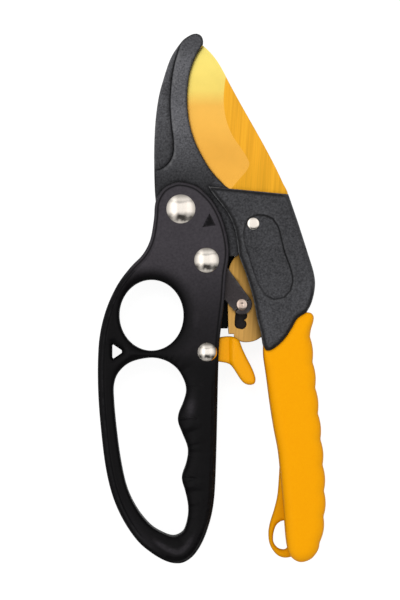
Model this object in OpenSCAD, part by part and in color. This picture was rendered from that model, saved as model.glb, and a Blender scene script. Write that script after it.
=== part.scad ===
// Ratchet pruning shears with a finger guard, drawn closed and lying flat.
//
// Drawing plane: x and y with the main pivot at [0, 0] and the jaws towards +y.
// Heights are counted from the middle plane of the blade, and place() then moves the
// drawing so that the origin lies under the middle of the tool on the surface it rests on.

/* [Overall] */
// Main pivot to the tip of the hook jaw
jaw_length = 74; // [64:0.5:90]
// Main pivot to the lower end of the squeeze handle
handle_reach = 132; // [118:0.5:150]
// Main pivot to the lower end of the grip
grip_reach = 131.5; // [118:0.5:150]
// Thickness of the grip and of the palm of the handle
grip_t = 18; // [18:0.5:24]

/* [Blade] */
// Thickness of the blade
blade_t = 2.8; // [2.2:0.1:3.2]
// Thickness left at the cutting edge
edge_t = 0.3; // [0.2:0.05:0.6]
// How far the blade opens, in degrees
blade_open = 22; // [18:1:24]
// Diameter of the main pivot pin
pivot_d = 4.8; // [4:0.1:5.6]
// Thickness of the washers beside the blade
blade_washer_t = 0.3; // [0.2:0.1:0.5]

/* [Frame] */
// Thickness of the hook and of the root inside the fork
root_t = 8.6; // [8.2:0.1:9.6]
// Thickness of the body that carries the blade pivot
body_t = 15.6; // [13:0.2:17]
// Thickness of the core inside the grip
core_t = 10; // [8:0.5:12]
// Depth of the recess along the back of the hook
hook_step = 1; // [0.5:0.1:1.5]
// Depth of the thumb panel
panel_step = 0.8; // [0.4:0.1:1.5]
// Radius of the round root about the handle rivet
root_r = 9.6; // [9.2:0.1:10]

/* [Squeeze handle] */
// Thickness of each cheek of the fork
cheek_t = 2; // [1.6:0.1:2.4]
// Thickness of the finger guard
guard_t = 11; // [9:0.5:13]
// Half width of the upper finger hole
finger_half_w = 12.5; // [10:0.5:13]
// Half height of the upper finger hole
finger_half_h = 13.8; // [11:0.2:14]
// How far the handle opens, in degrees
handle_open = 37.6; // [30:0.2:40]
// Thickness of the washers on the handle rivet and on the lock rivet
fork_washer_t = 0.4; // [0.3:0.1:0.6]

/* [Link] */
// Thickness of each link plate
link_t = 2; // [1.5:0.1:2.2]
// Radius of the link plate at its rivet
link_root_r = 4.6; // [4:0.1:4.8]
// Radius of the link plate at its pin
link_tip_r = 3.9; // [3:0.1:4.4]
// Diameter of the pin that rides in the ratchet slot
catch_pin_d = 3; // [2.4:0.1:3.2]
// Diameter of the heads of that pin
catch_head_d = 4.5; // [4:0.1:5.4]
// How far the link swings on the handle while it opens, in degrees
link_swing = 34.3; // [26:0.1:36]
// Number of catches along the ratchet slot
catches = 3; // [2:1:4]

/* [Lock lever] */
// Thickness of the hub of the lever
lock_hub_t = 8.6; // [7:0.1:9]
// Thickness of the thumb pad
lock_pad_t = 12.6; // [9:0.2:15]

/* [Rivets] */
// Shank diameter of the handle rivet
handle_rivet_d = 5; // [4:0.1:6]
// Head diameter of the handle rivet
handle_head_d = 11.3; // [9:0.1:12]
// Shank diameter of the link rivet
link_rivet_d = 4; // [3.2:0.1:4.6]
// Head diameter of the link rivet
link_head_d = 10; // [8:0.1:10.6]
// Shank diameter of the lock rivet
lock_rivet_d = 3.2; // [2.6:0.1:4]
// Head diameter of the lock rivet
lock_head_d = 7.8; // [6:0.1:9]
// Height of the domed heads
head_h = 1.9; // [1.4:0.1:2]

/* [Springs and grip] */
// Wire diameter of the return spring
return_wire_d = 1.2; // [0.9:0.1:1.3]
// Wire diameter of the link spring
link_wire_d = 0.7; // [0.5:0.1:0.8]
// Thickness of the hanging eye
eye_t = 5; // [3:0.5:8]
// Depth of the scallops along the back of the grip
scallop = 0.6; // [0.3:0.1:1.2]

/* [Hidden] */
$fn = 64;

run_fit = 0.05;      // radial play of a pin that turns in its bore
fix_fit = 0.02;      // radial play of a rivet that is held by what it joins
side_play = 0.1;     // play beside a washer
cut = 1;             // how far a cutting shape runs past the surface it cuts
steps = 4;           // straight pieces in each span of a smooth curve

frame_ink = "#3a3b3e";
handle_ink = "#1d1b1d";
gold_ink = "#e0a640";
orange_ink = "#ffa800";
steel_ink = "#d8d0c4";
link_ink = "#45403f";

// Pivots in the drawing plane
main_pivot = [0, 0];
handle_pivot = [-28.1, 5.7];
link_pivot = [-18.1, -14.2];
catch_rest = [-4.3, -31.4];     // the link pin in its uppermost catch
lock_pivot = [-17.9, -49.9];

// Half heights, counted from the middle plane
blade_h = blade_t / 2;
slot_h = blade_h + blade_washer_t + side_play;
root_h = root_t / 2;
body_h = body_t / 2;
core_h = core_t / 2;
fork_h = root_h + fork_washer_t + side_play;
cheek_h = fork_h + cheek_t;
palm_h = grip_t / 2;
link_in_h = blade_h + 0.2;
link_out_h = link_in_h + link_t;

// Smooth curves -------------------------------------------------------------------------

// Point at t from 0 to 1 on the Catmull-Rom span from b to c, with a before and d after it
function span_point(a, b, c, d, t) =
    0.5 * (2 * b + (c - a) * t + (2 * a - 5 * b + 4 * c - d) * t * t
        + (3 * b - a - 3 * c + d) * t * t * t);

// Smooth open curve through the points
function curve(pts) = let (n = len(pts)) concat(
    [for (i = [0:n - 2]) for (k = [0:steps - 1])
        span_point(pts[max(i - 1, 0)], pts[i], pts[i + 1], pts[min(i + 2, n - 1)], k / steps)],
    [pts[n - 1]]);

// Smooth closed curve through the points
function closed(pts) = let (n = len(pts))
    [for (i = [0:n - 1]) for (k = [0:steps - 1])
        span_point(pts[(i + n - 1) % n], pts[i], pts[(i + 1) % n], pts[(i + 2) % n], k / steps)];

function reversed(pts) = [for (i = [len(pts) - 1:-1:0]) pts[i]];

function turned(p, a) = [p.x * cos(a) - p.y * sin(a), p.x * sin(a) + p.y * cos(a)];
function turned_about(p, c, a) = c + turned(p - c, a);

// Moves every point beyond the line y = base, so that the drawn reach becomes the wanted one
function stretched(pts, base, drawn, wanted) =
    [for (p = pts) (p.y - base) * sign(drawn - base) <= 0 ? p
        : [p.x, base + (p.y - base) * (wanted - base) / (drawn - base)]];
function jaw(pts) = stretched(pts, 16, 74, jaw_length);
function palm(pts) = stretched(pts, -58, -132, -handle_reach);
function grip(pts) = stretched(pts, -50, -131.5, -grip_reach);

// Outlines ------------------------------------------------------------------------------

// Back of the hook, from the root up to its tip, then the inner edge down to the throat
hook_back = jaw([[-37.5, 5], [-38.2, 12], [-38.5, 21], [-38.5, 30], [-38, 40], [-36.8, 49], [-35, 56],
                 [-32.3, 64], [-29.5, 68.7], [-27, 71.7], [-24, 73.6], [-22, 74]]);
hook_inside = jaw([[-22, 74], [-20.4, 73.3], [-19.5, 71.5], [-19.8, 69.5], [-22.2, 65.5], [-24.2, 60.5],
                   [-25.3, 55], [-25.7, 48.7], [-25.3, 42.4], [-24.2, 36.7], [-22.2, 31], [-19.3, 25.3],
                   [-15.8, 20], [-11.6, 15.4]]);
hook_outline = concat(curve(hook_back), curve(hook_inside),
    [[-4, 10], [-2, -2], [-4.5, -10], [-6, -12.5], [-9.5, -12.5], [-12.5, -8], [-20, -3], [-28, -2]]);
// The recess along the back of the hook, closed outside the outline
hook_recess = concat([[-50, 21]], curve(jaw([[-38.5, 20.5], [-35.5, 21.3], [-32.6, 23.5], [-31, 27], [-30.8, 31.5],
    [-31.7, 38], [-32.1, 46], [-31.7, 54], [-30.4, 62], [-28.4, 69], [-27.3, 72.5]])), jaw([[-33, 78], [-50, 70]]));

body_left = [[4, -47.5], [2.9, -42], [1.6, -37], [0.5, -31], [-0.9, -25.5], [-3.1, -18.5], [-5.4, -12.5],
             [-6.1, -7.5], [-6.9, -3], [-8.1, 0.6], [-9.9, 4.2], [-12.4, 7.7], [-15, 10.9], [-17.4, 14.4]];
body_right = [[13.6, 11.4], [17.5, 0], [21.5, -12.5], [23.3, -18.3], [24, -23], [23.5, -27.5],
              [22.3, -31.5], [20.7, -34.4]];
// The line on which the body meets the grip, from the back of the tool to the inner side
shoulder = [[20.7, -34.4], [17.1, -36.9], [15, -40.4], [12.7, -44], [10, -46.9], [7, -49], [5, -49.1], [4, -47.5]];
body_outline = concat(curve(body_left), curve(body_right), curve(shoulder));
core_outline = grip([[9, -44], [19, -34], [19.5, -60], [21.5, -85], [22.5, -108], [20.5, -116],
                     [17.5, -116], [15.5, -108], [13.5, -85], [10, -62]]);
panel_outline = closed([[0.5, 3.2], [4.6, 3.2], [7.6, 2], [9.7, -1.2], [11, -6], [12.3, -11.2], [14.6, -17.5],
    [15.4, -22], [14.5, -26], [12, -28.7], [8, -29.5], [4.6, -27.8], [2.2, -24], [0, -18.3], [-2.1, -11.6],
    [-3.6, -6.6], [-3.5, -1.5], [-2, 2]]);

// Room for the blade between the two halves of the frame, from closed to fully open
blade_room = concat(jaw([[-12, 78], [-18, 71.5], [-21, 70.6]]),
    curve(jaw([[-21, 70.6], [-24.2, 67.4], [-27, 62.3], [-28.8, 56.2], [-29.8, 49.5], [-29.6, 42.3], [-28.3, 35.2],
               [-26.2, 29], [-23.6, 22.8], [-20, 16.8], [-16.6, 11.8]])),
    [[-13, 5], [-11.3, -2], [-15, -9.5], [-20, -14], [-40, -30], [-40, -46.6], [5.6, -46.6], [6.6, -38],
     [8.4, -20], [11.4, -6], [15, 1], [40, 1]], jaw([[40, 78]]));

// Cutting edge from the tip to the heel, and the line where the ground face ends
edge_line = jaw([[-19.6, 69.6], [-23, 66.6], [-25.9, 61.9], [-27.8, 56], [-28.8, 49.5], [-28.6, 42.4], [-27.3, 35.5],
                 [-25.2, 29.4], [-22.7, 23.4], [-19.2, 17.5], [-15.5, 12.5]]);
ground_line = jaw([[-17.6, 67.9], [-14.8, 64.5], [-12.2, 60.2], [-11, 54.5], [-11.4, 48.2], [-10.4, 41], [-7.9, 34.5],
                   [-4.3, 28.9], [-1.6, 23.6], [-4.4, 18.2], [-9, 13.2]]);
spine_line = jaw([[-10.2, 56.7], [11.6, 16]]);
spine_tip = jaw([[-19.6, 69.6], [-17, 67.2], [-14.5, 64.2], [-12.4, 60.9], [-10.2, 56.7]]);
tang_back = [[13.6, 11.4], [13.4, 7], [12, 1.5], [9.3, -6], [6.8, -20], [5, -38], [3.6, -43.9]];
tang_front = [[3.6, -43.9], [0.5, -45.6], [-3, -46.1], [-6, -45.5], [-9.2, -44.4], [-9.8, -38], [-10, -32],
              [-10.5, -24], [-9.3, -16.4], [-6.6, -12]];
hub_front = [[-6.6, -12], [-7.2, -8], [-8.3, -3], [-11, 5], [-15.5, 12.5]];
blade_outline = concat(curve(spine_tip), spine_line, curve(tang_back), curve(tang_front), curve(hub_front),
    curve(reversed(edge_line)));

handle_outline = closed(palm([[-28.1, 16.2], [-22.5, 14.8], [-18.2, 11.5], [-14.8, 7.4], [-11.9, 1.5], [-10, -5.5],
    [-9.4, -12.2], [-10.5, -20], [-11.2, -29.6], [-12.4, -39.5], [-13.3, -49], [-13.7, -63], [-14, -76.5],
    [-14.4, -92], [-14.9, -103.7], [-15.7, -110.8], [-17.2, -117], [-19.5, -123.2], [-22.6, -128.3],
    [-26.1, -131.2], [-29.6, -132], [-34, -131], [-39.4, -127.9], [-44.9, -123.2], [-50.4, -115.4],
    [-54.6, -106], [-57.4, -94.4], [-59.3, -78.8], [-60.3, -64.7], [-60.3, -51], [-59.3, -41.3],
    [-56.7, -32], [-52.6, -23.4], [-47.6, -16.8], [-42.9, -11.9], [-40, -6.2], [-38.6, 1.6],
    [-38, 8.2], [-35.5, 13], [-32, 15.4]]));
palm_opening = closed(palm([[-40.2, -52.1], [-34.3, -53.1], [-29.7, -56.2], [-26.9, -60.8], [-26.1, -64.8],
    [-27.1, -69], [-29, -73.7], [-29.2, -77], [-27.7, -81.1], [-25.8, -85.8], [-25.4, -89], [-26.1, -93.2],
    [-27.6, -97.5], [-27.6, -100], [-26.5, -103.7], [-25.4, -108.8], [-25.4, -113.5], [-26.5, -118.2],
    [-28.1, -120.4], [-31.2, -121.5], [-35.5, -120.1], [-40.2, -117], [-45.2, -110.8], [-49.1, -102.6],
    [-51.5, -92], [-53.2, -79.6], [-54.2, -68.6], [-54.2, -62.4], [-52.3, -57.7], [-47.6, -53.8]]));
finger_centre = [-39.6, -35.6];
finger_hole = [for (a = [0:6:354]) finger_centre + [finger_half_w * cos(a), finger_half_h * sin(a)]];
web_window = [[-54.9, -47.4], [-54.5, -46.9], [-51.1, -49.2], [-51.1, -50.2], [-54.5, -52.5], [-54.9, -52]];
sight_mark = [[-16.8, 3.4], [-14.9, 0.2], [-19, -0.6], [-19.4, -1.4], [-20.2, -0.4], [-18.3, 0.9]];
// Thick palm, and the finger guard that is thinner than the fork
palm_zone = palm([[-36, -57], [-5, -57], [-5, -140], [-22, -140], [-29, -121], [-36, -112]]);
guard_zone = palm([[-70, -28], [-53.5, -21], [-46, -25], [-44, -38], [-38, -53.5], [-36, -70], [-36, -112],
                   [-29, -121], [-22, -140], [-70, -140]]);
// Gap between the cheeks of the fork, left of which the handle is solid
fork_room = [[-28.1, -5], [-25, -5.5], [-24.7, -13], [-23.5, -18.5], [-14.6, -31], [-13, -36], [-12.9, -41.8],
             [-17.9, -42.6], [-17.9, -54.8], [5, -56], [5, 20], [-28.1, 20]];

grip_inner = grip([[4, -47.5], [4.1, -52], [5.2, -60], [6.5, -70], [8, -79.5], [9.7, -88.5], [10.6, -97],
                   [11.5, -107], [12.2, -115.5], [12.9, -123.5], [14, -128.3], [16.2, -130.7], [19, -131.5],
                   [22.4, -130.3], [24.6, -127.9], [25.5, -126]]);
lobe = [[22.2, -42.6], [22.5, -40.8], [23.3, -38], [23.4, -36], [22.4, -34.7], [20.7, -34.4]];
// Back of the grip: a row of shallow bumps between cusps, along a bowed line
scallops = 8;
scallop_steps = 6;
back_span = grip([[22.05, -43.7], [25.9, -123.8]]);
function back_point(s) = [
    back_span[0].x + 8.4 * s - 4.55 * pow(s, 6) + scallop * abs(sin(180 * scallops * s)),
    back_span[0].y + (back_span[1].y - back_span[0].y) * s];
grip_back = [for (i = [scallops * scallop_steps:-1:0]) back_point(i / (scallops * scallop_steps))];
grip_outline = concat(curve(grip_inner), grip_back, curve(lobe), curve(shoulder));
eye_outline = concat(curve(grip([[10.3, -95], [9.6, -105], [8.3, -111], [6.6, -116.5], [6, -120.7], [6.6, -125],
    [9, -128.6], [12, -130], [15.5, -129.6]])), grip([[17, -120], [15, -95]]));
eye_hole = closed(grip([[13.2, -116.2], [11.2, -115.7], [9, -117.4], [7.9, -120.8], [8.1, -124.3], [10.3, -126.6],
    [13.2, -126.3], [14.3, -121.5]]));

lever_arm = concat(curve([[-14, -44.6], [-12, -44], [-8.2, -43.9], [-5.6, -45.2], [-4.2, -48.5], [-2.8, -51.5],
    [-0.2, -56.7], [0.9, -60.3], [0.2, -62.3], [-2.3, -62.5], [-4.6, -60.9], [-8, -55.8], [-9.9, -54.3],
    [-13, -53.7]]), [[-17.9, -53.9], [-17.9, -45.9]]);
pad_zone = [[-10.6, -40], [5, -40], [5, -66], [-10.6, -66]];
// Room in the lever for the tail of the blade, and the tooth that catches its notch
lever_room = [[-14.6, -46], [-14.6, -40], [5, -40], [5, -50.4], [-3, -50.4], [-9, -48]];
lever_tooth = [[-9.9, -48.5], [-9.7, -45.4], [-8, -45.4], [-7.2, -49]];
tail_notch = [[-11.4, -47], [-11, -42.9], [-7.5, -42.9], [-7.2, -47]];

// Motion of the link pin, which shapes the ratchet slot ---------------------------------

link_length = norm(catch_rest - link_pivot);
link_angle = atan2(catch_rest.y - link_pivot.y, catch_rest.x - link_pivot.x);
// Centre of the link pin as the blade carries it, with the tool opened by the share t
function pin_on_blade(t) = turned(
    turned_about(link_pivot, handle_pivot, -handle_open * t)
        + link_length * [cos(link_angle + (link_swing - handle_open) * t),
                         sin(link_angle + (link_swing - handle_open) * t)],
    blade_open * t);
slot_path = [for (i = [0:8]) pin_on_blade(i / 8)];
slot_half = catch_pin_d / 2 + 0.3;
slot_dir = (slot_path[8] - slot_path[0]) / norm(slot_path[8] - slot_path[0]);
slot_side = [-slot_dir.y, slot_dir.x];      // towards the catches
catch_shift = 0.9;                          // depth of a catch beside the slot
slot_channel = concat([for (p = slot_path) p + slot_side * slot_half],
    [for (p = reversed(slot_path)) p - slot_side * slot_half]);

// Placing -------------------------------------------------------------------------------

every_point = concat(handle_outline, hook_outline, grip_outline, body_outline);
middle = [(min([for (p = every_point) p.x]) + max([for (p = every_point) p.x])) / 2,
          (min([for (p = every_point) p.y]) + max([for (p = every_point) p.y])) / 2];
module place() translate([-middle.x, -middle.y, palm_h]) children();
module at(p) translate([p.x, p.y, 0]) children();

// A plate of the outline, as far above as below the middle plane
module plate(outline, half) translate([0, 0, -half]) linear_extrude(2 * half) polygon(outline);
// A plate of the outline between two heights
module layer(outline, low, high) translate([0, 0, low]) linear_extrude(high - low) polygon(outline);
module rod(d, half) translate([0, 0, -half]) cylinder(d = d, h = 2 * half);
// The same piece above the middle plane and below it
module both_sides() {
    children();
    mirror([0, 0, 1]) children();
}
module ring(p, inner_d, outer_d, low, high) at(p) translate([0, 0, low]) difference() {
    cylinder(d = outer_d, h = high - low);
    translate([0, 0, -cut]) cylinder(d = inner_d, h = high - low + 2 * cut);
}
// Spherical cap standing on z = 0
module dome(d, h) {
    ball_r = (d * d / 4 + h * h) / (2 * h);
    intersection() {
        translate([0, 0, h - ball_r]) sphere(ball_r);
        cylinder(d = d, h = h + cut);
    }
}
module rivet(p, shank_d, head_d, seat) at(p) {
    rod(shank_d, seat);
    both_sides() translate([0, 0, seat]) dome(head_d, head_h);
}

// Wire springs --------------------------------------------------------------------------

function coil(r, rise, from, turns) = [for (i = [0:turns * 20])
    [r * cos(from + i * 18), r * sin(from + i * 18), rise * (i / (turns * 20) - 0.5)]];
// Round wire along a path that stays nearly level
module wire(path, d) {
    sides = 8;
    n = len(path);
    rings = [for (i = [0:n - 1])
        let (ahead = path[min(i + 1, n - 1)] - path[max(i - 1, 0)],
             along = ahead / norm(ahead),
             across = cross(along, [0, 0, 1]) / norm(cross(along, [0, 0, 1])),
             up = cross(across, along))
        for (k = [0:sides - 1]) path[i] + d / 2 * (cos(k * 45) * across + sin(k * 45) * up)];
    polyhedron(rings, concat(
        [for (i = [0:n - 2]) for (k = [0:sides - 1])
            [i * sides + k, i * sides + (k + 1) % sides, (i + 1) * sides + (k + 1) % sides, (i + 1) * sides + k]],
        [[for (k = [sides - 1:-1:0]) k]], [[for (k = [0:sides - 1]) (n - 1) * sides + k]]), convexity = 6);
}

// The frame: hook, body and core, moulded as two halves ---------------------------------

return_r = 5.2;                                 // middle of the return spring's wire
return_pocket_r = return_r + return_wire_d / 2 + 0.5;
return_rise = 3 * (return_wire_d + 0.05);       // three close turns
return_leg = [3.9, -14.4];                      // end of the leg that presses on the handle

module frame_half() difference() {
    union() {
        layer(hook_outline, 0, root_h);
        at(handle_pivot) cylinder(r = root_r, h = root_h);
        layer(body_outline, 0, body_h);
        layer(core_outline, 0, core_h);
    }
    layer(blade_room, -cut, slot_h);
    layer(hook_recess, root_h - hook_step, root_h + cut);
    layer(panel_outline, body_h - panel_step, body_h + cut);
    rod(pivot_d + 2 * fix_fit, body_h + cut);
    at(handle_pivot) {
        rod(handle_rivet_d + 2 * run_fit, root_h + cut);
        translate([0, 0, -cut]) cylinder(r = return_pocket_r, h = cut + return_rise / 2 + return_wire_d / 2 + 0.2);
        // Way out for the leg of the spring
        layer([[return_leg.x - 1.3, 0], [return_leg.x + 1.3, 0], [return_leg.x + 1.3, -12],
               [return_leg.x - 1.3, -12]], -cut, return_rise / 2 + return_wire_d / 2 + 0.2);
    }
}
module frame_front() color(frame_ink) place() frame_half();
module frame_rear() color(frame_ink) place() mirror([0, 0, 1]) frame_half();

module grip_sleeve() color(orange_ink) place() difference() {
    union() {
        plate(grip_outline, palm_h);
        difference() {
            plate(eye_outline, eye_t / 2);
            plate(eye_hole, eye_t / 2 + cut);
        }
    }
    plate(core_outline, core_h);
}

module pivot_pin() color(steel_ink) place() {
    rod(pivot_d, body_h - 0.3);
    both_sides() translate([0, 0, body_h - 0.3]) cylinder(d1 = pivot_d, d2 = pivot_d - 0.6, h = 0.3, $fn = 64);
}

module blade_washers() color(steel_ink) place() both_sides()
    ring(main_pivot, pivot_d + 0.1, 11, blade_h + side_play / 2, blade_h + side_play / 2 + blade_washer_t);

module return_spring() color(steel_ink) place() at(handle_pivot) {
    leg_start = [return_r * cos(-40), return_r * sin(-40), return_rise / 2];
    wire(concat(coil(return_r, return_rise, -40, 3),
        [leg_start + [-0.05, -0.6, 0], [return_leg.x, -6, return_rise / 2],
         [return_leg.x, return_leg.y, return_rise / 2]]), return_wire_d);
}

// The blade -----------------------------------------------------------------------------

// What the grinding takes off one side: a wedge that rises from the edge to the ground line
module ground_off() {
    edge = curve(edge_line);
    back = curve(ground_line);
    n = len(edge);
    beyond = 0.6;            // how far the wedge runs past both lines, as a share of its width
    fall = blade_h - edge_t / 2;
    low = [for (i = [0:n - 1]) let (w = edge[i] - back[i], p = edge[i] + w * beyond)
        [p.x, p.y, edge_t / 2 - fall * beyond]];
    high = [for (i = [0:n - 1]) let (w = edge[i] - back[i], p = back[i] - w * 0.02)
        [p.x, p.y, blade_h + fall * 0.02]];
    top_low = [for (p = low) [p.x, p.y, blade_h + 2]];
    top_high = [for (p = high) [p.x, p.y, blade_h + 2]];
    pts = concat(low, high, top_high, top_low);
    polyhedron(pts, concat(
        [for (r = [0:3]) for (i = [0:n - 2]) let (a = r * n + i, b = ((r + 1) % 4) * n + i)
            each [[a, a + 1, b], [a + 1, b + 1, b]]],
        [[0, n, 2 * n], [0, 2 * n, 3 * n]],
        [[n - 1, 3 * n - 1, 2 * n - 1], [n - 1, 4 * n - 1, 3 * n - 1]]), convexity = 8);
}

module blade() color(gold_ink) place() difference() {
    plate(blade_outline, blade_h);
    both_sides() ground_off();
    rod(pivot_d + 2 * run_fit, blade_h + cut);
    plate(slot_channel, blade_h + cut);
    at(slot_path[0]) rod(2 * slot_half, blade_h + cut);
    at(slot_path[8]) rod(2 * slot_half, blade_h + cut);
    for (i = [0:catches - 1]) at(pin_on_blade(i / (catches - 1)) + slot_side * catch_shift)
        rod(catch_pin_d + 0.7, blade_h + cut);
    plate(tail_notch, blade_h + cut);
}

// The squeeze handle --------------------------------------------------------------------

module squeeze_handle() color(handle_ink) place() difference() {
    union() {
        difference() {
            plate(handle_outline, cheek_h);
            both_sides() layer(guard_zone, guard_t / 2, cheek_h + cut);
        }
        intersection() {
            plate(handle_outline, palm_h);
            plate(palm_zone, palm_h);
        }
    }
    plate(finger_hole, palm_h + cut);
    plate(palm_opening, palm_h + cut);
    plate(web_window, palm_h + cut);
    layer(sight_mark, cheek_h - 0.6, cheek_h + cut);
    plate(fork_room, fork_h);
    at(handle_pivot) {
        rod(2 * root_r + 2.6, fork_h);
        rod(handle_rivet_d + 2 * fix_fit, palm_h);
    }
    at(link_pivot) {
        rod(2 * link_root_r + 1.4, fork_h);
        rod(link_rivet_d + 2 * fix_fit, palm_h);
    }
    at(lock_pivot) {
        rod(9.2, fork_h);
        rod(lock_rivet_d + 2 * fix_fit, palm_h);
    }
}

module handle_rivet() color(steel_ink) place() rivet(handle_pivot, handle_rivet_d, handle_head_d, cheek_h);
module link_rivet() color(steel_ink) place() rivet(link_pivot, link_rivet_d, link_head_d, cheek_h);
module lock_rivet() color(steel_ink) place() rivet(lock_pivot, lock_rivet_d, lock_head_d, cheek_h);
module handle_washers() color(steel_ink) place() both_sides()
    ring(handle_pivot, handle_rivet_d + 0.1, 13, root_h + side_play / 2, root_h + side_play / 2 + fork_washer_t);

// The ratchet link ----------------------------------------------------------------------

// Straight bar with round ends, tangent to both of them
module link_plate() {
    lean = asin((link_root_r - link_tip_r) / link_length);
    difference() {
        union() {
            at(link_pivot) translate([0, 0, link_in_h]) cylinder(r = link_root_r, h = link_t);
            at(catch_rest) translate([0, 0, link_in_h]) cylinder(r = link_tip_r, h = link_t);
            layer([link_pivot + link_root_r * turned([1, 0], link_angle + 90 - lean),
                   link_pivot + link_root_r * turned([1, 0], link_angle - 90 + lean),
                   catch_rest + link_tip_r * turned([1, 0], link_angle - 90 + lean),
                   catch_rest + link_tip_r * turned([1, 0], link_angle + 90 - lean)], link_in_h, link_out_h);
        }
        at(link_pivot) rod(link_rivet_d + 2 * run_fit, link_out_h + cut);
        at(catch_rest) rod(catch_pin_d + 2 * fix_fit, link_out_h + cut);
    }
}
module link_front() color(link_ink) place() link_plate();
module link_rear() color(link_ink) place() mirror([0, 0, 1]) link_plate();
module link_pin() color(steel_ink) place() at(catch_rest) {
    rod(catch_pin_d, link_out_h);
    both_sides() translate([0, 0, link_out_h]) cylinder(d = catch_head_d, h = 0.7);
}
module link_spacer() color(steel_ink) place()
    ring(link_pivot, link_rivet_d + 2 * run_fit, link_rivet_d + 1.8, -link_in_h, link_in_h);
module link_washers() color(steel_ink) place() both_sides()
    ring(link_pivot, link_rivet_d + 2 * run_fit, 8, link_out_h, fork_h - side_play);
module link_spring() color(steel_ink) place() at(link_pivot) {
    r = link_rivet_d / 2 + 0.9 + 0.15 + link_wire_d / 2;
    rise = 3 * (link_wire_d + 0.03);
    start = [r * cos(150), r * sin(150)];
    along = [-sin(150), cos(150)];
    wire(concat([[start.x - 3 * along.x, start.y - 3 * along.y, -rise / 2]], coil(r, rise, 150, 3),
        [[start.x + 3.5 * along.x, start.y + 3.5 * along.y, rise / 2]]), link_wire_d);
}

// The lock lever ------------------------------------------------------------------------

module lock_lever() color(orange_ink) place() difference() {
    union() {
        difference() {
            union() {
                plate(lever_arm, lock_hub_t / 2);
                at(lock_pivot) rod(8, lock_hub_t / 2);
                intersection() {
                    plate(lever_arm, lock_pad_t / 2);
                    plate(pad_zone, lock_pad_t / 2);
                }
            }
            plate(lever_room, blade_h + 0.35);
        }
        plate(lever_tooth, blade_h - 0.1);
    }
    at(lock_pivot) rod(lock_rivet_d + 2 * run_fit, lock_pad_t);
}
module lock_washers() color(steel_ink) place() both_sides()
    ring(lock_pivot, lock_rivet_d + 0.1, 7.6, lock_hub_t / 2 + side_play / 2, fork_h - side_play / 2);

frame_front();
frame_rear();
grip_sleeve();
pivot_pin();
blade_washers();
return_spring();
blade();
squeeze_handle();
handle_rivet();
link_rivet();
lock_rivet();
handle_washers();
link_front();
link_rear();
link_pin();
link_spacer();
link_washers();
link_spring();
lock_lever();
lock_washers();
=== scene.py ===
"""Looks of the ratchet pruning shears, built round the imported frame.

Shapes are worked out in millimetres in the plane of the tool: x and y are counted from the main
pivot, z from the middle plane of the blade. piece() turns them into metres in the row frame.
"""

import math

import bpy
import numpy as np
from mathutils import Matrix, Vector
from mathutils.geometry import delaunay_2d_cdt


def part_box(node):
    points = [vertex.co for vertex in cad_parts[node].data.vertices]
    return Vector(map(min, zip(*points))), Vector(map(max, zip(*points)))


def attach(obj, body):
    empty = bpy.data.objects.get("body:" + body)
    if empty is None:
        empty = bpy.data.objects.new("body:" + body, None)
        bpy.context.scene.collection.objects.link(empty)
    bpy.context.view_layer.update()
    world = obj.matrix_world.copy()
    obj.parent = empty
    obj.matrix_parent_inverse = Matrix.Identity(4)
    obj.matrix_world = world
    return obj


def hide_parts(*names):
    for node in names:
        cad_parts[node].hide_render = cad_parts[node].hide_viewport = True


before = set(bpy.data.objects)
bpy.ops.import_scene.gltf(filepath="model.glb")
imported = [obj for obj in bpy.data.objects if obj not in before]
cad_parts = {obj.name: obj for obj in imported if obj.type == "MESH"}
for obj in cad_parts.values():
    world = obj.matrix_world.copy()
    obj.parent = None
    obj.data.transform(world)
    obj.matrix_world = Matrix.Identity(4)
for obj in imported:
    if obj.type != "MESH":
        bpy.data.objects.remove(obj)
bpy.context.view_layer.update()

MM = 0.001


def centre(node):
    """Middle of a CAD node's box, in metres."""
    low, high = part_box(node)
    return (np.array(low) + np.array(high)) / 2


MAIN = centre("pivot_pin")


def place_of(node):
    """Middle of a CAD node's box, in millimetres from the main pivot."""
    return (centre(node) - MAIN) / MM


def top_of(node):
    """Highest point of a CAD node, in millimetres from the middle plane."""
    return (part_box(node)[1].z - MAIN[2]) / MM


HANDLE_RIVET = place_of("handle_rivet")[:2]
LINK_RIVET = place_of("link_rivet")[:2]
LOCK_RIVET = place_of("lock_rivet")[:2]
LINK_PIN = place_of("link_pin")[:2]

# Half heights, in millimetres from the middle plane
PALM_H = top_of("squeeze_handle")
GRIP_H = top_of("grip_sleeve")
BODY_H = top_of("frame_front")
BLADE_H = top_of("blade")
ROOT_H = 4.3
SLOT_H = BLADE_H + 0.4
CHEEK_H = 6.8
GUARD_H = 5.5
FORK_H = 4.8

# ---------------------------------------------------------------- lines in the plane


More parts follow.
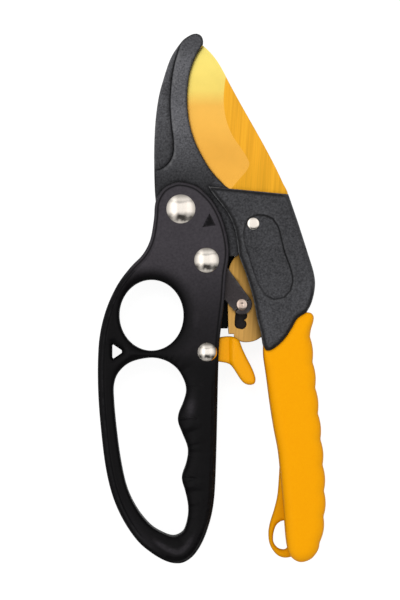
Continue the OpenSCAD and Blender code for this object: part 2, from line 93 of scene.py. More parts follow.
def section(node, height):
    """Closed lines in which the level plane at that height cuts a CAD node, with the solid on their left.

    Each triangle that the plane crosses gives one straight piece between two of its edges, and
    the pieces are chained by the edges that they share.
    """
    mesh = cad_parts[node].data
    mesh.calc_loop_triangles()
    co = np.empty(len(mesh.vertices) * 3, np.float32)
    mesh.vertices.foreach_get("co", co)
    tri = np.empty(len(mesh.loop_triangles) * 3, np.int32)
    mesh.loop_triangles.foreach_get("vertices", tri)
    co = co.reshape(-1, 3).astype(float) / MM - MAIN / MM
    co, same = np.unique(np.round(co, 3), axis=0, return_inverse=True)
    tri = same.ravel()[tri].reshape(-1, 3)
    above = co[tri, 2] > height
    crossed = above.any(1) & ~above.all(1)
    tri, above = tri[crossed], above[crossed]
    up = above.sum(1) == 1
    lone = np.where(up, above.argmax(1), above.argmin(1))
    rows = np.arange(len(tri))
    a, b, c = (tri[rows, (lone + k) % 3] for k in range(3))

    def crossing(p, q):
        share = (height - co[p, 2]) / (co[q, 2] - co[p, 2])
        return co[p, :2] + (co[q, :2] - co[p, :2]) * share[:, None]

    def key(p, q):
        return np.minimum(p, q) * len(co) + np.maximum(p, q)

    start = np.where(up, key(a, b), key(c, a))
    end = np.where(up, key(c, a), key(a, b))
    at = np.where(up[:, None], crossing(a, b), crossing(c, a))
    left = dict(zip(start.tolist(), zip(end.tolist(), at.tolist())))
    loops = []
    while left:
        step, line = next(iter(left)), []
        while step in left:
            step, point = left.pop(step)
            line.append(point)
        loops.append(without_straights(np.array(line)))
    return [line for line in loops if len(line) > 2]


def without_straights(line):
    """The closed line without doubled points and without points that lie on a straight run."""
    for _ in range(2):
        back, ahead = line - np.roll(line, 1, 0), np.roll(line, -1, 0) - line
        size = np.linalg.norm(back, axis=1) * np.linalg.norm(ahead, axis=1)
        side = np.abs(back[:, 0] * ahead[:, 1] - back[:, 1] * ahead[:, 0])
        line = line[(np.linalg.norm(back, axis=1) > 0.01) & (side > 0.002 * size)]
    return line


def area(line):
    """Area inside a closed line, positive where it runs anticlockwise."""
    x, y = line.T
    return 0.5 * np.sum(x * np.roll(y, -1) - np.roll(x, -1) * y)


def large(loops, least=12.0):
    """The loops that close round more than that many square millimetres."""
    return [line for line in loops if abs(area(line)) > least]


def smooth(line, step, corner=30.0):
    """Closed cubic line through the points, with a point about every step.

    At each point its slope is the mean of the two directions there, weighted by nearness, and
    where they differ by more than the corner angle the line keeps its corner.
    """
    ahead = np.roll(line, -1, 0) - line
    length = np.linalg.norm(ahead, axis=1)
    way = ahead / length[:, None]
    way_in, length_in = np.roll(way, 1, 0), np.roll(length, 1)
    mean = (way_in * length[:, None] + way * length_in[:, None]) / (length + length_in)[:, None]
    mean /= np.linalg.norm(mean, axis=1)[:, None]
    turn = np.degrees(np.arccos(np.clip((way_in * way).sum(1), -1, 1)))
    sharp = (turn > corner)[:, None]
    out = np.where(sharp, way, mean)
    into = np.roll(np.where(sharp, way_in, mean), -1, 0)
    count = np.maximum(1, np.ceil(length / step)).astype(int)
    which = np.repeat(np.arange(len(line)), count)
    first = np.repeat(np.cumsum(count) - count, count)
    t = ((np.arange(len(which)) - first) / count[which])[:, None]
    size = length[which][:, None]
    return (line[which] * (1 + 2 * t) * (1 - t) ** 2 + out[which] * size * t * (1 - t) ** 2
            + np.roll(line, -1, 0)[which] * t * t * (3 - 2 * t) - into[which] * size * t * t * (1 - t))


def open_line(points, step=0.5):
    """Smooth line through the points from the first to the last: a closed one without its way back."""
    points = np.array(points, float)
    there = smooth(np.vstack([points, points[-2:0:-1]]), step, 60.0)
    last = np.argmin(np.linalg.norm(there - points[-1], axis=1))
    return there[:last + 1]


def inside(points, loops):
    """True for each point that lies inside an odd number of the closed lines."""
    a = np.vstack(loops)
    b = np.vstack([np.roll(line, -1, 0) for line in loops])
    found = []
    for some in np.array_split(points, len(points) // 1500 + 1):
        x, y = some[:, :1], some[:, 1:]
        spans = (a[:, 1] > y) != (b[:, 1] > y)
        rise = np.where(a[:, 1] == b[:, 1], 1.0, b[:, 1] - a[:, 1])
        meets = x < (b[:, 0] - a[:, 0]) * (y - a[:, 1]) / rise + a[:, 0]
        found.append((spans & meets).sum(1) % 2 == 1)
    return np.concatenate(found)


def reach(points, loops, closed=True):
    """Distance from each point to the nearest piece of the lines."""
    a = np.vstack([line if closed else line[:-1] for line in loops])
    b = np.vstack([np.roll(line, -1, 0) if closed else line[1:] for line in loops])
    along = b - a
    square = np.maximum((along ** 2).sum(1), 1e-12)
    found = []
    for some in np.array_split(points, len(points) // 1500 + 1):
        off = some[:, None] - a
        share = np.clip((off * along).sum(2) / square, 0, 1)
        found.append(np.sqrt(((off - share[..., None] * along) ** 2).sum(2).min(1)))
    return np.concatenate(found)


def beside(line, offsets):
    """Points of an open line moved sideways by each offset, to its left where positive."""
    way = np.gradient(line, axis=0)
    way /= np.linalg.norm(way, axis=1)[:, None]
    across = np.column_stack([-way[:, 1], way[:, 0]])
    return np.vstack([line + across * w for w in offsets])


def ease(low, high, x):
    """0 below low, 1 above high and a smooth rise between them; low may be the larger."""
    t = np.clip((x - low) / (high - low), 0, 1)
    return t * t * (3 - 2 * t)


def fall(depth, width, d):
    """How far a rounded edge lies below its plate: a quarter of an ellipse of that depth and width."""
    t = 1 - np.clip(d / np.maximum(width, 1e-6), 0, 1)
    return depth * (1 - np.sqrt(np.maximum(1 - t * t, 0)))


# ---------------------------------------------------------------- meshes

FINE = (0.05, 0.17, 0.36, 0.62, 0.95, 1.35, 1.85)
BROAD = FINE + (2.5, 3.25, 4.1, 5.1, 6.2, 7.4)


class Field:
    """Triangles over the inside of closed lines: the lines, copies of them at the ring distances
    further in, a square grid inside the last ring, and any extra points."""

    def __init__(self, loops, step=0.7, rings=FINE, grid=1.6, extra=None):
        self.loops = [smooth(line, step) for line in loops]
        edge = np.vstack(self.loops)
        way = np.vstack([np.roll(q, -1, 0) - np.roll(q, 1, 0) for q in self.loops])
        way /= np.linalg.norm(way, axis=1)[:, None]
        inward = np.column_stack([-way[:, 1], way[:, 0]])
        kept = []
        for ring in rings:
            moved = edge + inward * ring
            clear = (reach(moved, self.loops) > 0.93 * ring) & inside(moved, self.loops)
            kept.append(moved[clear])
        low, high = edge.min(0), edge.max(0)
        x, y = np.meshgrid(np.arange(low[0], high[0], grid), np.arange(low[1], high[1], grid))
        net = np.column_stack([x.ravel(), y.ravel()])
        net = net[inside(net, self.loops)]
        kept.append(net[reach(net, self.loops) > rings[-1] + 0.4 * grid])
        kept = np.vstack(kept)
        kept = kept[np.unique(np.round(kept / 0.1), axis=0, return_index=True)[1]]
        if extra is not None:
            extra = extra[inside(extra, self.loops)]
            extra = extra[reach(extra, self.loops) > 0.04]
            kept = np.vstack([kept, extra])
        points = np.vstack([edge, kept])
        pairs, start = [], 0
        for line in self.loops:
            index = np.arange(start, start + len(line))
            pairs.append(np.column_stack([index, np.roll(index, -1)]))
            start += len(line)
        out = delaunay_2d_cdt([Vector(p) for p in points.tolist()],
                              np.vstack(pairs).tolist(), [], 0, 1e-4)
        self.xy = np.array([tuple(v) for v in out[0]])
        self.tri = np.array(out[2])
        corner = self.xy[self.tri]
        across = np.cross(corner[:, 1] - corner[:, 0], corner[:, 2] - corner[:, 0])
        self.tri[across < 0] = self.tri[across < 0][:, ::-1]
        keep = inside(corner.mean(1), self.loops) & (np.abs(across) > 1e-9)
        self.tri = self.tri[keep]
        new = np.zeros(len(points), int)
        for n, old in enumerate(out[3]):
            new[old] = n
        self.rims = [new[p[:, 0]] for p in pairs]
        self.d = reach(self.xy, self.loops)
        self.d[np.concatenate(self.rims)] = 0

    def relaxed(self, values, weight, rounds):
        """Each value moved towards the mean of its neighbours by its weight, that many times."""
        n = len(values)
        pair = np.vstack([self.tri[:, [0, 1]], self.tri[:, [1, 2]], self.tri[:, [2, 0]]])
        pair = np.vstack([pair, pair[:, ::-1]])
        count = np.maximum(np.bincount(pair[:, 0], minlength=n), 1)
        for _ in range(rounds):
            mean = np.bincount(pair[:, 0], values[pair[:, 1]], n) / count
            values = values + weight * (mean - values)
        return values

    def solid(self, top, low):
        """Vertices and faces of the closed piece between two heights, given at every point."""
        n = len(self.xy)
        top, low = np.broadcast_to(top, n), np.broadcast_to(low, n)
        co = np.vstack([np.column_stack([self.xy, top]), np.column_stack([self.xy, low])])
        faces = self.tri.tolist() + (self.tri[:, ::-1] + n).tolist()
        for rim in self.rims:
            ahead = np.roll(rim, -1)
            faces += np.column_stack([rim + n, ahead + n, ahead, rim]).tolist()
        return co, faces


def under(co, faces):
    """The same piece below the middle plane."""
    return co * (1, 1, -1), [f[::-1] for f in faces]


def turned(profile, at, sides=72):
    """Surface of revolution about the upright line at that place, with its ends on the axis.

    profile is radius and height, from the lowest point to the highest.
    """
    profile = np.array(profile, float)
    angle = np.arange(sides) * 2 * math.pi / sides
    mid = profile[1:-1]
    ring = np.stack([mid[:, :1] * np.cos(angle) + at[0], mid[:, :1] * np.sin(angle) + at[1],
                     np.repeat(mid[:, 1:], sides, 1)], 2).reshape(-1, 3)
    co = np.vstack([ring, [[at[0], at[1], profile[0, 1]], [at[0], at[1], profile[-1, 1]]]])
    k = np.arange(sides)
    ahead = (k + 1) % sides
    faces = []
    for r in range(len(mid) - 1):
        low, high = r * sides, (r + 1) * sides
        faces += np.column_stack([low + k, low + ahead, high + ahead, high + k]).tolist()
    last = (len(mid) - 1) * sides
    faces += np.column_stack([ahead, k, np.full(sides, len(ring))]).tolist()
    faces += np.column_stack([last + k, last + ahead, np.full(sides, len(ring) + 1)]).tolist()
    return co, faces


def piece(name, parts, material, body, slot, stands_for=(), sharp=38.0, **marks):
    """Puts (vertices, faces) pairs into one object in the row frame and hangs it on its body.

    marks are values per point of one surface, repeated over all of them: the edge mark is 1 on edges that wear and on
    edges that carry a painted highlight, the darkening mark is 1 where painted shade or painted shadow darkens the
    colour, and the lightening mark is 1 where painted light lightens it.
    """
    co = np.vstack([p[0] for p in parts])
    faces, start = [], 0
    for verts, some in parts:
        faces += [[i + start for i in f] for f in some]
        start += len(verts)
    mesh = bpy.data.meshes.new(name)
    mesh.from_pydata((co * MM + MAIN).tolist(), [], faces)
    mesh.validate()
    for label, values in marks.items():
        values = np.tile(values, len(co) // len(values))
        mesh.attributes.new(label, "FLOAT", "POINT").data.foreach_set(
            "value", np.asarray(values, np.float32))
    obj = bpy.data.objects.new(name, mesh)
    bpy.context.scene.collection.objects.link(obj)
    finish_piece(obj, material, body, stands_for, sharp)
    return obj


def finish_piece(obj, material, body, stands_for, sharp):
    """Smooth shading with sharp edges past an angle, the material, and the body it rides on."""
    obj.data.polygons.foreach_set("use_smooth", np.ones(len(obj.data.polygons), bool))
    obj.data.set_sharp_from_angle(angle=math.radians(sharp))
    obj.data.materials.clear()
    obj.data.materials.append(material)
    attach(obj, body)
    if stands_for:
        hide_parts(*stands_for)


def cut_away(obj, cutters):
    """Takes closed pieces, given as (vertices, faces), out of an object and keeps its attributes."""
    tools = []
    for k, (co, faces) in enumerate(cutters):
        mesh = bpy.data.meshes.new("cutter")
        mesh.from_pydata((co * MM + MAIN).tolist(), [], faces)
        tool = bpy.data.objects.new("cutter_%d" % k, mesh)
        bpy.context.scene.collection.objects.link(tool)
        cut = obj.modifiers.new("cut_%d" % k, "BOOLEAN")
        cut.operation, cut.solver, cut.object = "DIFFERENCE", "EXACT", tool
        tools.append(tool)
    ready = obj.evaluated_get(bpy.context.evaluated_depsgraph_get())
    mesh = bpy.data.meshes.new_from_object(ready)
    obj.modifiers.clear()
    obj.data = mesh
    for tool in tools:
        bpy.data.objects.remove(tool)


def prism(line, half):
    """Upright prism on a closed anticlockwise line, as far above as below the middle plane."""
    n = len(line)
    co = np.vstack([np.column_stack([line, np.full(n, -half)]), np.column_stack([line, np.full(n, half)])])
    k = np.arange(n)
    ahead = (k + 1) % n
    faces = np.column_stack([k, ahead, ahead + n, k + n]).tolist()
    return co, faces + [k[::-1].tolist(), (k + n).tolist()]


def disc(at, r, sides=64):
    """Points of a circle, anticlockwise."""
    angle = np.arange(sides) * 2 * math.pi / sides
    return np.column_stack([at[0] + r * np.cos(angle), at[1] + r * np.sin(angle)])


# ---------------------------------------------------------------- materials


def new_tree(name):
    material = bpy.data.materials.new(name)
    material.use_nodes = True
    material.node_tree.nodes.clear()
    return material, material.node_tree


def add(tree, kind, values=None, **settings):
    """New node with its settings, and its inputs set or linked from a dict of socket to value."""
    node = tree.nodes.new(kind)
    for key, value in settings.items():
        setattr(node, key, value)
    for key, value in (values or {}).items():
        if isinstance(value, bpy.types.NodeSocket):
            tree.links.new(value, node.inputs[key])
        else:
            node.inputs[key].default_value = value
    return node


def group(name, inputs, outputs):
    """Empty node group with float or colour sockets, its tree and its two end nodes."""
    tree = bpy.data.node_groups.new(name, "ShaderNodeTree")
    for label, kind, value in inputs:
        socket = tree.interface.new_socket(label, in_out="INPUT", socket_type="NodeSocket" + kind)
        if value is not None:
            socket.default_value = value
    for label, kind in outputs:
        tree.interface.new_socket(label, in_out="OUTPUT", socket_type="NodeSocket" + kind)
    return tree, tree.nodes.new("NodeGroupInput"), tree.nodes.new("NodeGroupOutput")


def use(tree, made, values):
    """Places a node group in a material with its own values."""
    node = tree.nodes.new("ShaderNodeGroup")
    node.node_tree = made
    for key, value in values.items():
        if isinstance(value, bpy.types.NodeSocket):
            tree.links.new(value, node.inputs[key])
        else:
            node.inputs[key].default_value = value
    return node


def span(tree, value, low, high, start=0.3, end=0.7):
    """Maps a noise value to a range."""
    return add(tree, "ShaderNodeMapRange", {"Value": value, "From Min": start, "From Max": end,
                                            "To Min": low, "To Max": high}).outputs["Result"]


def make_grain():
    """Two layers of noise in object space: a fine one for the height and both for a mottled colour."""
    tree, i, o = group("moulded_grain",
                       [("Dark", "Color", (0, 0, 0, 1)), ("Light", "Color", (1, 1, 1, 1)),
                        ("Cells per metre", "Float", 1500.0), ("Patches per metre", "Float", 90.0)],
                       [("Colour", "Color"), ("Height", "Float"), ("Patches", "Float")])
    at = add(tree, "ShaderNodeTexCoord").outputs["Object"]
    fine = add(tree, "ShaderNodeTexNoise", {"Vector": at, "Scale": i.outputs["Cells per metre"],
                                            "Detail": 3.0, "Roughness": 0.6})
    wide = add(tree, "ShaderNodeTexNoise", {"Vector": at, "Scale": i.outputs["Patches per metre"],
                                            "Detail": 4.0, "Roughness": 0.55})
    both = add(tree, "ShaderNodeMath", {0: wide.outputs["Fac"], 1: 0.35, 2: fine.outputs["Fac"]},
               operation="MULTIPLY_ADD")
    spread = add(tree, "ShaderNodeMapRange", {"Value": both.outputs[0], "From Min": 0.42, "From Max": 0.94})
    mix = add(tree, "ShaderNodeMix", data_type="RGBA")
    tree.links.new(spread.outputs["Result"], mix.inputs[0])
    tree.links.new(i.outputs["Dark"], mix.inputs[6])
    tree.links.new(i.outputs["Light"], mix.inputs[7])
    tree.links.new(mix.outputs[2], o.inputs["Colour"])
    tree.links.new(fine.outputs["Fac"], o.inputs["Height"])
    tree.links.new(wide.outputs["Fac"], o.inputs["Patches"])
    return tree


def make_finish():
    """Finish from the marks on a piece: the colour is lightened where painted light is marked, edges that wear and
    edges given a painted highlight, broken up by noise, take the worn and lit colour, and painted shade darkens the
    rest."""
    tree, i, o = group("finish_with_painted_light",
                       [("Colour", "Color", (0, 0, 0, 1)), ("Worn and lit", "Color", (1, 1, 1, 1)),
                        ("Amount", "Float", 0.5), ("Gain", "Float", 0.0), ("Painted shade", "Float", 0.9)],
                       [("Colour", "Color"), ("Mask", "Float")])
    tone = add(tree, "ShaderNodeAttribute", attribute_name="tone").outputs["Fac"]
    painted_light_gain = add(tree, "ShaderNodeMath", {0: tone, 1: i.outputs["Gain"], 2: 1.0}, operation="MULTIPLY_ADD")
    lit = add(tree, "ShaderNodeVectorMath", {0: i.outputs["Colour"], "Scale": painted_light_gain.outputs[0]},
              operation="SCALE")
    edge = add(tree, "ShaderNodeAttribute", attribute_name="rub").outputs["Fac"]
    at = add(tree, "ShaderNodeTexCoord").outputs["Object"]
    noise = add(tree, "ShaderNodeTexNoise", {"Vector": at, "Scale": 420.0, "Detail": 5.0, "Roughness": 0.65})
    broken = span(tree, noise.outputs["Fac"], 0.0, 1.0, 0.38, 0.62)
    mask = add(tree, "ShaderNodeMath", {0: edge, 1: broken}, operation="MULTIPLY")
    mask = add(tree, "ShaderNodeMath", {0: mask.outputs[0], 1: i.outputs["Amount"]}, operation="MULTIPLY",
               use_clamp=True)
    mix = add(tree, "ShaderNodeMix", data_type="RGBA")
    tree.links.new(mask.outputs[0], mix.inputs[0])
    tree.links.new(lit.outputs[0], mix.inputs[6])
    tree.links.new(i.outputs["Worn and lit"], mix.inputs[7])
    shade_amount = add(tree, "ShaderNodeAttribute", attribute_name="grime").outputs["Fac"]
    shade_amount = add(tree, "ShaderNodeMath", {0: shade_amount, 1: i.outputs["Painted shade"]}, operation="MULTIPLY")
    left = add(tree, "ShaderNodeMath", {0: 1.0, 1: shade_amount.outputs[0]}, operation="SUBTRACT", use_clamp=True)
    dark = add(tree, "ShaderNodeVectorMath", {0: mix.outputs[2], "Scale": left.outputs[0]}, operation="SCALE")
    tree.links.new(dark.outputs[0], o.inputs["Colour"])
    tree.links.new(mask.outputs[0], o.inputs["Mask"])
    return tree


def make_brush():
    """Brushed lines: noise stretched along y, about fifty times longer than it is wide."""
    tree, i, o = group("brushed_lines",
                       [("Lines per metre", "Float", 2200.0), ("Turn", "Float", 0.0)],
                       [("Lines", "Float"), ("Streaks", "Float")])
    at = add(tree, "ShaderNodeTexCoord").outputs["Object"]
    turn = add(tree, "ShaderNodeVectorRotate", {"Vector": at, "Angle": i.outputs["Turn"]},
               rotation_type="Z_AXIS")
    flat = add(tree, "ShaderNodeMapping", {"Vector": turn.outputs[0], "Scale": (1.0, 0.02, 1.0)})
    fine = add(tree, "ShaderNodeTexNoise", {"Vector": flat.outputs[0], "Scale": i.outputs["Lines per metre"],
                                            "Detail": 2.0, "Roughness": 0.6})
    wide = add(tree, "ShaderNodeTexNoise", {"Vector": flat.outputs[0], "Scale": 420.0, "Detail": 3.0,
                                            "Roughness": 0.5})
    tree.links.new(fine.outputs["Fac"], o.inputs["Lines"])
    tree.links.new(wide.outputs["Fac"], o.inputs["Streaks"])
    return tree


GRAIN, FINISH, BRUSH = make_grain(), make_finish(), make_brush()


def moulded(name, dark, light, worn_and_lit, rough, cells, bump, rub=0.6, painted_light_gain=0.0, grime=0.9, specular=0.2,
            patches=90.0):
    """Moulded or coated surface: mottled colour, edges worn and lit with a painted highlight, painted light and painted
    shade where the marks ask for them, uneven roughness and a grain in relief.
    """
    material, tree = new_tree(name)
    grain = use(tree, GRAIN, {"Dark": (*dark, 1), "Light": (*light, 1), "Cells per metre": cells,
                              "Patches per metre": patches})
    edge = use(tree, FINISH, {"Colour": grain.outputs["Colour"], "Worn and lit": (*worn_and_lit, 1), "Amount": rub,
                              "Gain": painted_light_gain, "Painted shade": grime})
    relief = add(tree, "ShaderNodeBump", {"Height": grain.outputs["Height"], "Strength": bump[0],
                                          "Distance": bump[1]})
    shader = add(tree, "ShaderNodeBsdfPrincipled", {
        "Base Color": edge.outputs["Colour"], "Normal": relief.outputs["Normal"],
        "Roughness": span(tree, grain.outputs["Patches"], rough[0], rough[1]),
        "Specular IOR Level": specular})
    out = add(tree, "ShaderNodeOutputMaterial")
    tree.links.new(shader.outputs[0], out.inputs[0])
    return material


def metal(name, colour, tint, rough, lines=1800.0, bump=(0.05, 0.00002), turn=0.0):
    """Bare or plated metal with fine drawn lines in colour, roughness and relief."""
    material, tree = new_tree(name)
    brush = use(tree, BRUSH, {"Lines per metre": lines, "Turn": turn})
    mix = add(tree, "ShaderNodeMix", data_type="RGBA")
    tree.links.new(span(tree, brush.outputs["Streaks"], 0.0, 1.0), mix.inputs[0])
    mix.inputs[6].default_value, mix.inputs[7].default_value = (*colour, 1), (*tint, 1)
    relief = add(tree, "ShaderNodeBump", {"Height": brush.outputs["Lines"], "Strength": bump[0],
                                          "Distance": bump[1]})
    shader = add(tree, "ShaderNodeBsdfPrincipled", {
        "Base Color": mix.outputs[2], "Normal": relief.outputs["Normal"], "Metallic": 1.0,
        "Roughness": span(tree, brush.outputs["Lines"], rough[0], rough[1])})
    out = add(tree, "ShaderNodeOutputMaterial")
    tree.links.new(shader.outputs[0], out.inputs[0])
    return material


def gold_blade():
    """Gold coating: long brushed lines on the flat, and a smoother, paler ground face.

    The ground mark is 1 on the ground face. Both change colour along the blade, from the dull tail to the bright point:
    partly the coating's own shift in colour, partly painted shade on the tail and painted light on the pale point of
    the ground face.
    """
    material, tree = new_tree("gold_coating")
    ground = add(tree, "ShaderNodeAttribute", attribute_name="ground").outputs["Fac"]
    brush = use(tree, BRUSH, {"Lines per metre": 1500.0, "Turn": 0.06})
    grain = use(tree, GRAIN, {"Dark": (0.80, 0.80, 0.80, 1), "Light": (1.1, 1.1, 1.1, 1),
                              "Cells per metre": 700.0, "Patches per metre": 70.0})
    place = add(tree, "ShaderNodeSeparateXYZ", {0: add(tree, "ShaderNodeTexCoord").outputs["Object"]})

    def along(stops):
        """Colours at given y places, in metres, with smooth steps between them."""
        low, high = stops[0][0], stops[-1][0]
        ramp = add(tree, "ShaderNodeValToRGB", {"Fac": span(tree, place.outputs["Y"], 0, 1, low, high)})
        marks = ramp.color_ramp.elements
        for y, _ in stops[1:-1]:
            marks.new((y - low) / (high - low))
        for mark, (_, colour) in zip(marks, stops):
            mark.color = (*colour, 1)
        return ramp.outputs["Color"]

    # Painted light and shade along the blade: the dull tail stands for the shade it lies in, and the pale point of the
    # ground face for the light it reflects, over a real shift in the coating's colour.
    flat = along([(0.000, (0.70, 0.39, 0.105)), (0.012, (0.70, 0.39, 0.095)), (0.034, (0.82, 0.40, 0.024)),
                  (0.060, (0.94, 0.44, 0.030)), (0.095, (1.0, 0.49, 0.038))])
    face = along([(0.030, (0.92, 0.46, 0.065)), (0.058, (0.95, 0.48, 0.075)), (0.075, (0.98, 0.54, 0.10)),
                  (0.081, (0.98, 0.74, 0.17)), (0.105, (0.98, 0.84, 0.22))])
    lines = add(tree, "ShaderNodeMath", {0: span(tree, brush.outputs["Streaks"], 0.96, 1.07),
                                         1: span(tree, brush.outputs["Lines"], 0.88, 1.12)},
                operation="MULTIPLY").outputs[0]
    both = add(tree, "ShaderNodeVectorMath", {0: flat, "Scale": lines}, operation="SCALE")
    fine = add(tree, "ShaderNodeVectorMath", {0: face, 1: span(tree, grain.outputs["Patches"], 0.93, 1.04)},
               operation="MULTIPLY")
    mix = add(tree, "ShaderNodeMix", data_type="RGBA")
    tree.links.new(ground, mix.inputs[0])
    tree.links.new(both.outputs[0], mix.inputs[6])
    tree.links.new(fine.outputs[0], mix.inputs[7])
    # Painted shadow: the darkening mark dulls the gold where the frame, the handle and the link lie over the tail.
    shade_amount = add(tree, "ShaderNodeAttribute", attribute_name="grime").outputs["Fac"]
    unshaded = span(tree, shade_amount, 1.0, 0.25, 0.0, 1.0)
    shown = add(tree, "ShaderNodeVectorMath", {0: mix.outputs[2], "Scale": unshaded}, operation="SCALE")
    relief = add(tree, "ShaderNodeBump", {"Height": brush.outputs["Lines"], "Strength": 0.16,
                                          "Distance": 0.00003})
    rough = add(tree, "ShaderNodeMapRange", {"Value": ground, "To Min": 0.36, "To Max": 0.27})
    shader = add(tree, "ShaderNodeBsdfPrincipled", {
        "Base Color": shown.outputs[0], "Metallic": 1.0, "Roughness": rough.outputs["Result"],
        "Normal": relief.outputs["Normal"]})
    out = add(tree, "ShaderNodeOutputMaterial")
    tree.links.new(shader.outputs[0], out.inputs[0])
    return material


# TEXTURED and SATIN lighten their colour by their gain where painted light is marked; the pale worn and lit colour of
# SATIN is mostly a painted highlight on its edges.
TEXTURED = moulded("textured_frame", (0.010, 0.010, 0.011), (0.050, 0.050, 0.054), (0.17, 0.17, 0.175),
                   (0.50, 0.66), 1350.0, (0.8, 0.00015), rub=1.0, painted_light_gain=2.6, specular=0.15)
SATIN = moulded("satin_black", (0.0026, 0.0023, 0.0027), (0.0040, 0.0036, 0.0041), (0.05, 0.048, 0.052),
                (0.30, 0.38), 1100.0, (0.06, 0.00003), rub=0.6, painted_light_gain=14.0, specular=0.08)
ORANGE = moulded("orange_grip", (0.98, 0.385, 0.0005), (1.0, 0.415, 0.0008), (1.0, 0.47, 0.01),
                 (0.42, 0.52), 1300.0, (0.10, 0.00004), rub=0.3, grime=0.6, specular=0.05, patches=60.0)
LEVER = moulded("orange_lever", (0.93, 0.375, 0.0005), (0.97, 0.41, 0.0008), (1.0, 0.47, 0.02),
                (0.28, 0.36), 1100.0, (0.06, 0.00003), rub=0.3, grime=0.6, specular=0.15)
COATED = moulded("coated_link", (0.030, 0.025, 0.027), (0.055, 0.046, 0.048), (0.22, 0.21, 0.2),
                 (0.40, 0.52), 1500.0, (0.20, 0.00005), rub=0.7, specular=0.15)
NICKEL = metal("nickel_plate", (0.88, 0.80, 0.71), (0.96, 0.89, 0.81), (0.09, 0.15), lines=900.0)
ROSE = metal("rose_nickel", (0.58, 0.44, 0.36), (0.68, 0.54, 0.46), (0.16, 0.26), lines=1200.0)
WIRE = metal("spring_wire", (0.45, 0.44, 0.42), (0.60, 0.58, 0.55), (0.25, 0.38))
GOLD = gold_blade()

# ---------------------------------------------------------------- squeeze handle


def handle_height(field, outer, holes):
    """Half height of the handle: level cheeks, a thinner guard and a thicker palm that meet in
    smooth rises, less the rounding of the outer edge and of the holes, which widen over the palm,
    and less a fine groove that runs beside the outer edge."""
    x, y = field.xy.T
    out, hole = reach(field.xy, outer), reach(field.xy, holes)
    cheek = ease(-53, -43, x)
    palm = ease(-50.5, -62, y) * ease(-38, -25, x)
    high = GUARD_H + (CHEEK_H - GUARD_H) * cheek + (PALM_H - CHEEK_H) * palm
    low_left = ease(-45, -53, x) * (1 - palm)
    out_wide = 1.3 + 1.3 * low_left + 4.2 * palm
    out_deep = 1.1 + 0.6 * low_left + 3.4 * palm
    hole_wide = 3.0 + 2.4 * cheek * (1 - palm) * ease(-60, -48, y) + 4.5 * palm
    hole_deep = 2.3 + 0.4 * cheek * (1 - palm) + 2.5 * palm
    high = high - fall(out_deep, out_wide, out) - fall(hole_deep, hole_wide, hole)
    # groove beside the outer edge of the guard, and a finer one down the right edge of the palm
    left_side = ease(-36, -40, x) * ease(12, 2, y)
    foot = ease(-112, -118, y)
    groove = 0.30 * np.maximum(left_side, foot) * np.exp(-((out - 2.3) / 0.28) ** 2)
    right = ease(-20, -17, x) * ease(-56, -64, y) * ease(-118, -108, y)
    return high - groove - 0.12 * right * np.exp(-((out - 1.0) / 0.2) ** 2)


def sight_depth(xy, line):
    """Depth of the small three-cornered recess in the cheek: level floor with sloping sides."""
    within = np.where(inside(xy, [line]), reach(xy, [line]), 0)
    return 0.55 * ease(0, 0.3, within)


